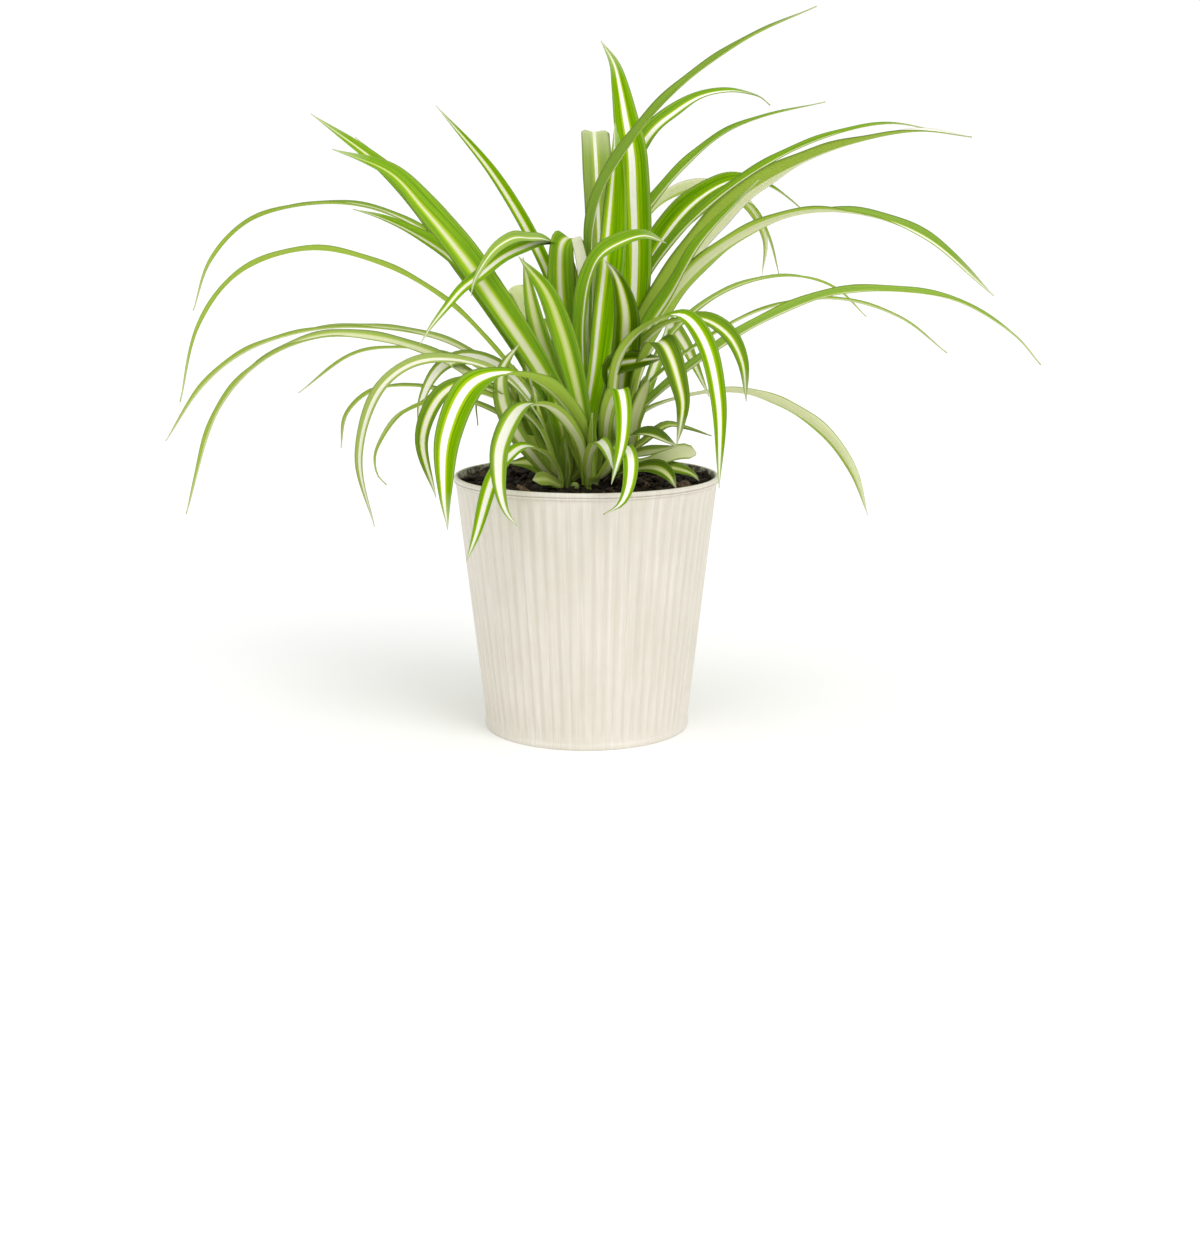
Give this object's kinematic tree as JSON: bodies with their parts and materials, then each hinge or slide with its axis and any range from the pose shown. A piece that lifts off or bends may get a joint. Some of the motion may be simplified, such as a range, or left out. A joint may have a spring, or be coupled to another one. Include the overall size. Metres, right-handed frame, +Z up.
{
  "type": "potted spider plant",
  "caption": "Striped, strap-leaved spider plant arching out of a cream pot of ribbed sheet metal.",
  "frame": {"origin": "middle of the pot's underside, on the surface that it stands on", "axes": "+Z up out of the pot, +X to the right and +Y away from the viewer as pictured"},
  "size_m": [0.4681, 0.2751, 0.3686],
  "materials": {
    "pot": "cream paint, satin",
    "soil": "damp dark bark and peat, matt",
    "leaf": "smooth waxy leaf, green margins and a cream middle stripe"
  },
  "bodies": {
    "root": {"pot": "pot", "soil": "soil", "front_leaf_clump": "leaf", "left_leaf_clump": "leaf", "right_leaf_clump": "leaf", "back_leaf_clump": "leaf"}
  },
  "joints": []
}
